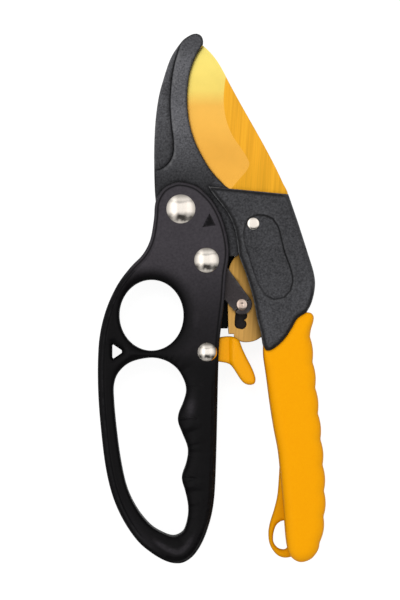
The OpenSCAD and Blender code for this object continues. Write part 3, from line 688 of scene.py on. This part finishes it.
def make_handle():
    loops = large(section("squeeze_handle", (FORK_H + GUARD_H) / 2), 4.0)
    loops = [q for q in loops if area(q) > 0 or np.linalg.norm(
        [q.mean(0) - p for p in (HANDLE_RIVET, LINK_RIVET, LOCK_RIVET)], axis=1).min() > 3]
    sight = np.array([[-17.0, 4.1], [-19.9, -1.5], [-14.5, -0.7]])
    marks = smooth(sight, 0.3)
    marks = np.vstack([marks, marks + (sight.mean(0) - marks) * 0.12])
    grooves = [smooth(q, 0.7) for q in loops if area(q) > 0]
    side = np.roll(grooves[0], -1, 0) - np.roll(grooves[0], 1, 0)
    side = np.column_stack([-side[:, 1], side[:, 0]]) / np.linalg.norm(side, axis=1)[:, None]
    near = np.vstack([grooves[0] + side * r for r in (0.8, 1.0, 1.2, 1.95, 2.15, 2.3, 2.45, 2.65)])
    near = near[reach(near, [grooves[0]]) > 0.75]
    field = Field(loops, 0.7, BROAD, 1.3, np.vstack([marks, near]))
    outer = [q for q in field.loops if area(q) > 0]
    holes = [q for q in field.loops if area(q) < 0]
    top = handle_height(field, outer, holes)
    x, y = field.xy.T
    out, hole = reach(field.xy, outer), reach(field.xy, holes)
    palm = ease(-47, -56, y) * ease(-44, -34, x)
    top = field.relaxed(top, 0.5 * palm * ease(0.3, 1.2, field.d), 160)
    # Painted light: the level cheeks are lightened as a painted sheen, more towards the head, a thin band just inside
    # the outer edge of the head as a painted highlight, and soft painted highlights lie on the first finger bump,
    # beside the upper finger hole and along the foot of the guard.
    tone = ease(-52, -42, x) * (1 - palm) * ease(0.8, 6.5, hole) * ease(0.9, 1.9, out)
    tone = tone * (0.2 + 0.8 * ease(-46, -6, y))
    tone = np.maximum(tone, 0.8 * ease(0.05, 0.3, out) * ease(1.15, 0.9, out) * ease(-52, -44, x)
                      * ease(-50, -20, y))
    bump = 0.50 * np.exp(-((x + 24.4 - 0.12 * (y + 72.5)) / 1.5) ** 2 - ((y + 71.5) / 3.6) ** 2)
    streak = 0.42 * np.exp(-((x + 22.3) / 1.3) ** 2 - ((y + 36) / 6.5) ** 2)
    foot = 0.55 * np.exp(-((out - 4.6) / 0.8) ** 2) * ease(-119, -126, y) * ease(-17, -23, x) * ease(-42, -36, x)
    tone = np.maximum(tone, bump + streak + foot)
    # Edge mark on the handle: a painted highlight along the outer edge of the upper handle, and a painted light line
    # beside the groove on the left of the guard.
    left = ease(-36, -40, x) * ease(12, 2, y)
    rub = np.maximum(0.8 * np.exp(-out / 0.4) * ease(-56, -46, y), 0.35 * left * np.exp(-((out - 1.8) / 0.3) ** 2))
    # Painted shade: a dark line about 1.4 mm inside the outer edge of the upper handle, at the foot of its rounded rim,
    # and the floor of the small three-cornered recess darkened.
    grime = 0.8 * np.exp(-((out - 1.4) / 0.3) ** 2) * ease(-56, -46, y)
    within = np.where(inside(field.xy, [sight]), reach(field.xy, [sight]), 0)
    grime = np.maximum(grime, ease(0, 0.35, within))
    obj = piece("handle_casting", [field.solid(top - sight_depth(field.xy, sight), -top)], SATIN,
                "handle", "handle", rub=rub, grime=grime, tone=tone)
    room = np.array([[-28.1, -5], [-25, -5.5], [-24.7, -13], [-23.5, -18.5], [-14.6, -31], [-13, -36],
                     [-12.9, -41.8], [-17.9, -42.6], [-17.9, -54.8], [5, -56], [5, 20], [-28.1, 20]])
    cut_away(obj, [prism(room, FORK_H), prism(disc(HANDLE_RIVET, 10.9), FORK_H),
                   prism(disc(LINK_RIVET, 5.3), FORK_H), prism(disc(LOCK_RIVET, 4.6), FORK_H)])
    finish_piece(obj, SATIN, "handle", ("squeeze_handle",), 38.0)
    web = np.array([[-13.4, -40.8], [-9.9, -40.8], [-9.6, -39.5], [-8.6, -29.6], [-7.6, -20], [-6.8, -8],
                    [-13.4, -8]])
    field = Field([web], 1.0, (0.3,), 2.0)
    piece("fork_web", [field.solid(-FORK_H + 0.4, -FORK_H - 0.1)], SATIN, "handle", "handle")


make_handle()

# ---------------------------------------------------------------- frame

HOOK_RECESS = open_line([[-39.5, 20.3], [-36.2, 21], [-33, 23.3], [-31.2, 26.6], [-30.8, 31], [-31.5, 37.5],
                         [-32.1, 45.5], [-31.8, 53.5], [-30.6, 61.5], [-28.6, 68.5], [-26.9, 73.5]])
PANEL = smooth(np.array([[0.5, 3.2], [-2, 2], [-3.5, -1.5], [-3.6, -6.6], [-2.1, -11.6], [0, -18.3], [2.2, -24],
                         [4.6, -27.8], [8, -29.5], [12, -28.7], [14.5, -26], [15.4, -22], [14.6, -17.5],
                         [12.3, -11.2], [11, -6], [9.7, -1.2], [7.6, 2], [4.6, 3.2]]), 0.5)


def make_frame():
    """Hook and root plate, body block and the layer between the halves, each from a CAD section."""
    plate = [q for q in section("frame_front", SLOT_H + 0.8) if area(q) > 30]
    steps = beside(HOOK_RECESS, (-0.45, -0.3, -0.15, 0.0, 0.15, 0.3, 0.45))
    field = Field(plate, 0.7, FINE, 1.5, steps)
    closing = np.vstack([HOOK_RECESS, [[-60, 80], [-60, 20]]])
    back = inside(field.xy, [closing])
    gap = reach(field.xy, [HOOK_RECESS], False)
    signed = np.where(back, gap, -gap)
    step = 0.9 * ease(-0.25, 0.35, signed)
    crown = 0.5 * ease(0.5, 6.5, np.where(back, gap, 0))
    line = 0.25 * np.exp(-((signed - 0.32) / 0.16) ** 2)
    top = ROOT_H - step - crown - line - fall(0.9, np.where(back, 1.6, 1.1), field.d)
    top = np.maximum(top, SLOT_H + 0.6)
    block = [q for q in section("frame_front", (ROOT_H + BODY_H) / 2 + 0.6) if area(q) > 30]
    cheek = large([q for q in section("squeeze_handle", 6.0) if area(q) > 0])
    x, y = field.xy.T
    outside = ~inside(field.xy, block) & ~inside(field.xy, cheek)
    near = np.minimum(reach(field.xy, block), reach(field.xy, cheek))
    band = ~back & (y > 12)
    # Painted shadow on the hook plates: darkening beside the body block and the handle's cheek and full darkness under
    # them, a dark line along the step of the hook's recess, and a dark line along the inner edge of the hook.
    grime = np.where(outside, 0.85 * np.exp(-near / 0.5), 1.0)
    grime = np.maximum(grime, ease(18, 24, y) * np.exp(-((signed - 0.2) / 0.32) ** 2))
    grime = np.maximum(grime, np.where(band & (x > -40), 0.8 * np.exp(-(field.d / 0.55) ** 2), 0))
    # Painted light and shade on the hook plates: the recess darker near its foot and lighter towards the tip, the hook
    # lightest along its middle and less at its tip, the root not lightened, and the part by the body at a fixed level.
    tone = np.where(back, 0.12 + 0.38 * ease(22, 46, y), ease(14, 40, y) * (1 - 0.5 * ease(62, 70, y)))
    tone = np.where(x > -15, 0.25, tone)
    # Edge mark on the hook plates: edges worn and lit, except along the inner edge of the hook, and a painted highlight
    # beside the step of the recess.
    rub = np.maximum(np.where(band, 0, np.exp(-field.d / 0.35)), 0.8 * np.exp(-((signed + 0.45) / 0.25) ** 2))
    co, faces = field.solid(top, SLOT_H)
    piece("hook_plates", [(co, faces), under(co, faces)], TEXTURED, "frame", "frame",
          rub=rub, grime=grime, tone=tone)

    around = np.vstack([PANEL] + [PANEL + (PANEL.mean(0) - PANEL) * s for s in
                                  (-0.05, -0.025, 0.025, 0.05, 0.075)])
    field = Field(block, 0.7, FINE, 1.4, around)
    within = np.where(inside(field.xy, [PANEL]), 1, -1) * reach(field.xy, [PANEL])
    dip = 0.7 * ease(-0.35, 0.55, within)
    top = BODY_H - dip - fall(1.0, 1.25, field.d)
    x, y = field.xy.T
    # Painted shade on the body block: a darker band just inside its edge, fainter at the upper right, and a dark line
    # along the edge of the recessed panel, strongest at its upper right.
    right = ease(0.5, -2.5, x - 13 - 0.3 * (12 - y))
    grime = (0.25 + 0.6 * right) * ease(1.7, 1.0, field.d) * ease(0.1, 0.45, field.d)
    grime = np.maximum(grime, (0.45 + 0.55 * ease(-4, 8, x + 0.25 * (y + 12)))
                       * np.exp(-((within - 0.1) / 0.34) ** 2))
    # Edge mark on the body block: worn and lit edges, and a painted highlight just outside the edge of the recessed
    # panel.
    rub = np.maximum(np.exp(-field.d / 0.3), 0.3 * np.exp(-np.abs(within + 0.5) / 0.3))
    # Painted light on the body block: lightened all over, a little more towards the grip end.
    tone = 0.22 + 0.12 * ease(-5, -40, y)
    co, faces = field.solid(top, SLOT_H)
    piece("body_block", [(co, faces), under(co, faces)], TEXTURED, "frame", "frame",
          rub=rub, grime=grime, tone=tone)

    middle = [q for q in section("frame_front", SLOT_H / 2) if abs(area(q)) > 30]
    field = Field(middle, 1.2, (0.4,), 4.0)
    piece("frame_core", [field.solid(SLOT_H + 0.03, -SLOT_H - 0.03)], TEXTURED, "frame", "frame",
          ("frame_front", "frame_rear"))


make_frame()

# ---------------------------------------------------------------- grip


def make_grip():
    """Grip with rounded sides that tighten where it meets the body, and the thin hanging eye."""
    line = large(section("grip_sleeve", GRIP_H - 1.5))
    body = [q for q in section("frame_front", (ROOT_H + BODY_H) / 2 + 0.6) if area(q) > 30]
    field = Field(line, 0.6, BROAD[:11], 1.4)
    meet = ease(0.3, 9, reach(field.xy, body))
    top = GRIP_H - fall(1.3 + 3.0 * meet, 1.4 + 2.9 * meet, field.d)
    # Painted shade along the edges of the grip cover; the edge mark lightens a band about 2 mm in from its edge.
    piece("grip_cover", [field.solid(top, -top)], ORANGE, "frame", "grip",
          grime=0.7 * np.exp(-field.d / 0.5), rub=0.5 * np.exp(-np.abs(field.d - 2.2) / 0.6))

    eye = [q for q in section("grip_sleeve", 1.5) if area(q) > 0 or q[:, 0].max() < 16 and area(q) < -8]
    field = Field(eye, 0.5, FINE, 2.0)
    top = 2.5 - fall(1.3, 1.6, field.d)
    # Painted shade on the hanging eye: darker all over than the grip, and darker still at its edge.
    piece("hanging_eye", [field.solid(top, -top)], ORANGE, "frame", "grip", ("grip_sleeve",),
          grime=0.3 + 0.5 * np.exp(-field.d / 0.4))


make_grip()

# ---------------------------------------------------------------- blade

EDGE_LINE = open_line([[-19.6, 69.6], [-23, 66.6], [-25.9, 61.9], [-27.8, 56], [-28.8, 49.5], [-28.6, 42.4],
                       [-27.3, 35.5], [-25.2, 29.4], [-22.7, 23.4], [-19.2, 17.5], [-15.5, 12.5]])
GROUND_LINE = open_line([[-9.4, 12.6], [-4.9, 17.9], [-2.2, 21.2], [-1.4, 23.4], [-2.2, 25.6], [-4.2, 28.9], [-8, 34.5],
                         [-10.4, 40.6], [-11.4, 47.5], [-11.2, 52.5], [-10.4, 58.4]], 0.4)


def make_blade():
    """Level flat, and a ground face that dips from the ground line to the cutting edge."""
    loops = [q for q in section("blade", 0.0) if abs(area(q)) > 15]
    body = max(range(len(loops)), key=lambda k: area(loops[k]))
    flat = loops[body]
    heel = np.argmin(np.linalg.norm(flat - EDGE_LINE[-1], axis=1))
    flat = np.roll(flat, -heel, 0)
    loops[body] = np.vstack([flat[flat[:, 0] > -15.2], [[-17, 67.2]], EDGE_LINE[::2]])
    field = Field(loops, 0.6, FINE[:5], 1.5, beside(GROUND_LINE, (-0.3, -0.08, 0.0, 0.08, 0.3, 0.8)))
    region = np.vstack([EDGE_LINE, GROUND_LINE[:-1], [[-9, 60], [-12.4, 64], [-17, 70]]])
    within = inside(field.xy, [region])
    to_edge, to_line = reach(field.xy, [EDGE_LINE], False), reach(field.xy, [GROUND_LINE], False)
    share = to_edge / np.maximum(to_edge + to_line, 1e-6)
    hollow = 0.2 + (BLADE_H - 0.2) * share ** 0.85
    top = np.where(within, np.minimum(hollow, BLADE_H), BLADE_H)
    top = np.maximum(top - np.where(within, 0, fall(0.18, 0.25, field.d)), 0.12)
    ground = np.where(within, ease(-0.05, 0.12, to_line), 0)
    # Painted shadow on the tail of the blade, darkest next to the frame, the handle's cheek and the link that lie over
    # it.
    covers = (section("frame_front", SLOT_H + 0.8), section("squeeze_handle", 6.0), section("link_front", 2.6))
    tail = ease(-8, -12, field.xy[:, 1])
    shade = np.max([np.exp(-reach(field.xy, q) / w) for q, w in zip(covers, (3.6, 1.4, 0.5))], axis=0)
    piece("blade_gold", [field.solid(top, -top)], GOLD, "blade", "gold_steel", ("blade",), ground=ground,
          grime=tail * shade)


make_blade()

# ---------------------------------------------------------------- link and lock lever


def make_link():
    low, high = ((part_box("link_front")[k].z - MAIN[2]) / MM for k in (0, 1))
    field = Field(large(section("link_front", (low + high) / 2), 3.0), 0.5, FINE[:5], 1.2)
    top = high - fall(0.4, 0.45, field.d)
    co, faces = field.solid(top, low)
    piece("link_plates", [(co, faces), under(co, faces)], COATED, "link", "link",
          ("link_front", "link_rear"), rub=np.exp(-field.d / 0.35))
    # A dark disc on the link lies behind the slot in the tail of the blade so that the slot shows dark, and painted
    # shade darkens it further.
    cover = Field([disc((0, 0), 1.0) * (3.7, 6.6) + (-4.4, -35.8)], 0.8, (0.4,), 2.0)
    piece("link_cover", [cover.solid(-BLADE_H - 0.04, -BLADE_H - 0.17)], COATED, "link", "link",
          grime=0.6 * np.ones(len(cover.xy)))


def make_lever():
    hub, pad = 4.3, top_of("lock_lever")
    arm = Field(large(section("lock_lever", 3.2), 3.0), 0.5, FINE, 1.0)
    x = arm.xy[:, 0]
    top = hub - fall(0.9, 1.0, arm.d)
    room = BLADE_H + 0.35
    co, faces = arm.solid(top, room)
    thumb = Field([q for q in section("lock_lever", (hub + pad) / 2) if area(q) > 0], 0.45, BROAD[:9], 0.9)
    rise = ease(-10.6, -7.2, thumb.xy[:, 0])
    top_pad = hub - 0.6 + (pad - hub + 0.6) * rise - fall(1.6, 2.0, thumb.d)
    co2, faces2 = thumb.solid(np.maximum(top_pad, room + 0.6), room)
    core = Field(large(section("lock_lever", 0.6), 3.0), 0.6, (0.3,), 2.0)
    # Painted shade along the edges of the arm and of the thumb pad of the lever.
    grime = np.concatenate([np.tile(0.7 * np.exp(-arm.d / 0.4), 4), np.tile(0.7 * np.exp(-thumb.d / 0.4), 4),
                            np.zeros(2 * len(core.xy))])
    piece("lever_moulding",
          [(co, faces), under(co, faces), (co2, faces2), under(co2, faces2), core.solid(room + 0.02, -room - 0.02)],
          LEVER, "lock", "lever", ("lock_lever",), grime=grime)


make_link()
make_lever()

# ---------------------------------------------------------------- rivets and pins


def domed(name, node, at, head_r, seat, body):
    """Rivet with a head at each end: a low upright rim under a part of a sphere."""
    top, rim = top_of(node), 0.15
    high = top - seat - rim
    ball = (head_r ** 2 + high ** 2) / (2 * high)
    angle = np.linspace(math.asin(head_r / ball), 0, 22)
    cap = np.column_stack([ball * np.sin(angle), top - ball + ball * np.cos(angle)])
    shank = np.linalg.norm(section(node, seat / 2)[0] - at, axis=1).max()
    half = np.vstack([[[shank, seat]], [[head_r, seat]], cap])
    half[-1, 0] = 0
    whole = np.vstack([half[::-1] * (1, -1), half])
    piece(name, [turned(whole, at)], NICKEL, body, "nickel", (node,), sharp=50.0)


domed("rivet_at_fork", "handle_rivet", HANDLE_RIVET, 5.6, CHEEK_H - 0.1, "handle")
domed("rivet_at_link", "link_rivet", LINK_RIVET, 4.95, CHEEK_H - 0.1, "handle")
domed("rivet_at_lock", "lock_rivet", LOCK_RIVET, 3.85, CHEEK_H - 0.1, "handle")


def headed_pin(name, node, at, r, shoulder, body, dimple, material):
    """Pin with low domed ends, and a small dimple in the middle of each where it was set."""
    top = top_of(node)
    t = np.linspace(0, 1, 12)[:-1]
    edge = np.column_stack([r * np.cos(t * math.pi / 2) ** 0.8, top - 0.55 + 0.55 * np.sin(t * math.pi / 2)])
    edge = edge[edge[:, 0] > r * 0.4]
    face = [[r * 0.32, top - 0.02], [r * 0.24, top - dimple], [0, top - dimple]]
    shank = r if shoulder is None else shoulder[0]
    foot = [] if shoulder is None else [[shank, shoulder[1]], [r, shoulder[1]]]
    half = np.array(foot + edge.tolist() + face)
    whole = np.vstack([half[::-1] * (1, -1), half])
    piece(name, [turned(whole, at)], material, body, "nickel", (node,), sharp=50.0)


headed_pin("pin_at_pivot", "pivot_pin", (0, 0), 2.4, None, "frame", 0.0, NICKEL)
headed_pin("pin_at_link", "link_pin", LINK_PIN, 2.25, (1.3, top_of("link_front") - 0.05), "link", 0.15, ROSE)

for node in ("blade_washers", "handle_washers", "link_washers", "link_spacer", "lock_washers"):
    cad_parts[node].data.materials.clear()
    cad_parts[node].data.materials.append(NICKEL)
for node in ("return_spring", "link_spring"):
    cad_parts[node].data.materials.clear()
    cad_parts[node].data.materials.append(WIRE)

# ---------------------------------------------------------------- floor, light and camera

FLOOR_Z = -0.0003


def make_floor():
    mesh = bpy.data.meshes.new("floor")
    s = 3.0
    mesh.from_pydata([(-s, -s, FLOOR_Z), (s, -s, FLOOR_Z), (s, s, FLOOR_Z), (-s, s, FLOOR_Z)], [], [(0, 1, 2, 3)])
    floor = bpy.data.objects.new("floor", mesh)
    bpy.context.scene.collection.objects.link(floor)
    material, tree = new_tree("pale_floor")
    path = add(tree, "ShaderNodeLightPath")
    white = add(tree, "ShaderNodeBsdfDiffuse", {"Color": (0.82, 0.82, 0.82, 1)})
    faint = add(tree, "ShaderNodeBsdfDiffuse", {"Color": (0.25, 0.25, 0.25, 1)})
    glow = add(tree, "ShaderNodeEmission", {"Color": (1, 1, 1, 1), "Strength": 0.90})
    both = add(tree, "ShaderNodeAddShader", {0: faint.outputs[0], 1: glow.outputs[0]})
    seen = add(tree, "ShaderNodeMixShader", {0: path.outputs["Is Camera Ray"], 1: white.outputs[0],
                                             2: both.outputs[0]})
    out = add(tree, "ShaderNodeOutputMaterial")
    tree.links.new(seen.outputs[0], out.inputs[0])
    mesh.materials.append(material)


def make_world():
    """Plain pale surroundings. Reflections see them white overhead, dark in a wavering band low down
    towards the foot of the tool, and brighter in a long strip on each side."""
    world = bpy.data.worlds.new("studio")
    bpy.context.scene.world = world
    world.use_nodes = True
    tree = world.node_tree
    tree.nodes.clear()
    way = add(tree, "ShaderNodeTexCoord").outputs["Generated"]
    axis = add(tree, "ShaderNodeSeparateXYZ", {0: way})
    wave = add(tree, "ShaderNodeTexNoise", {"Vector": way, "Scale": 3.2, "Detail": 2.0})
    lean = add(tree, "ShaderNodeMath", {0: wave.outputs["Fac"], 1: 0.34, 2: -0.17}, operation="MULTIPLY_ADD")
    along = add(tree, "ShaderNodeMath", {0: axis.outputs["Y"], 1: lean.outputs[0]}, operation="ADD")
    ramp = add(tree, "ShaderNodeValToRGB", {"Fac": span(tree, along.outputs[0], 0.0, 1.0, -1.0, 1.0)})
    stops = ramp.color_ramp.elements
    band = ((0.00, 1.00), (0.05, 0.80), (0.11, 0.06), (0.23, 0.03), (0.30, 0.45), (0.40, 0.97),
            (0.70, 1.02), (0.79, 0.55), (0.85, 0.85), (1.00, 0.55))
    for share, _ in band[1:-1]:
        stops.new(share)
    for stop, (_, grey) in zip(stops, band):
        stop.color = (grey, grey, grey, 1)
    side = add(tree, "ShaderNodeMath", {0: axis.outputs["X"]}, operation="ABSOLUTE")
    strip = span(tree, side.outputs[0], 0.0, 1.0, 0.25, 0.50)
    strip = add(tree, "ShaderNodeMath", {0: strip, 1: span(tree, side.outputs[0], 1.0, 0.0, 0.55, 0.85)},
                operation="MULTIPLY")
    left = span(tree, axis.outputs["X"], 0.55, 0.15, -0.1, 0.1)
    both = add(tree, "ShaderNodeMath", {0: strip.outputs[0], 1: left, 2: ramp.outputs["Color"]},
               operation="MULTIPLY_ADD")
    grey = add(tree, "ShaderNodeMath", {0: both.outputs[0], 1: span(tree, axis.outputs["Z"], 0.3, 1.0, 0.15, 0.62)},
               operation="MULTIPLY")
    path = add(tree, "ShaderNodeLightPath")
    plain = add(tree, "ShaderNodeMix", {0: path.outputs["Is Glossy Ray"], 2: 0.68, 3: grey.outputs[0]})
    seen = add(tree, "ShaderNodeMix", {0: path.outputs["Is Camera Ray"], 2: plain.outputs[0], 3: 1.0})
    back = add(tree, "ShaderNodeBackground", {"Color": (1, 1, 1, 1), "Strength": seen.outputs[0]})
    out = add(tree, "ShaderNodeOutputWorld")
    tree.links.new(back.outputs[0], out.inputs[0])


def lamp(name, place, target, size, power):
    """Square soft box that shines from one place at another and isn't seen by the camera."""
    data = bpy.data.lights.new(name, "AREA")
    data.shape, data.size, data.size_y, data.energy = "RECTANGLE", size[0], size[1], power
    obj = bpy.data.objects.new(name, data)
    bpy.context.scene.collection.objects.link(obj)
    obj.location = place
    obj.rotation_euler = (Vector(target) - Vector(place)).to_track_quat("-Z", "Y").to_euler()
    obj.visible_camera = False
    obj.visible_glossy = False


def make_camera():
    """Straight above the tool, with a long lens that takes in 234 mm from top to bottom."""
    data = bpy.data.cameras.new("camera")
    distance, shown = 1.3, 0.234
    data.lens = data.sensor_width * distance / shown
    data.clip_start, data.clip_end = 0.05, 20
    cam = bpy.data.objects.new("camera", data)
    bpy.context.scene.collection.objects.link(cam)
    cam.location = (MAIN[0] - 0.02067, MAIN[1] - 0.02964, MAIN[2] + distance)
    bpy.context.scene.camera = cam


make_floor()
make_world()
lamp("head_box", (-0.15, 0.42, 0.75), (0, 0.03, 0), (0.55, 0.35), 1.9)
lamp("left_box", (-0.65, 0.10, 0.55), (0, 0, 0), (0.40, 0.80), 0.9)
lamp("right_box", (0.65, 0.05, 0.60), (0, 0, 0), (0.40, 0.80), 0.5)
make_camera()
bpy.context.scene.view_settings.view_transform = "Standard"
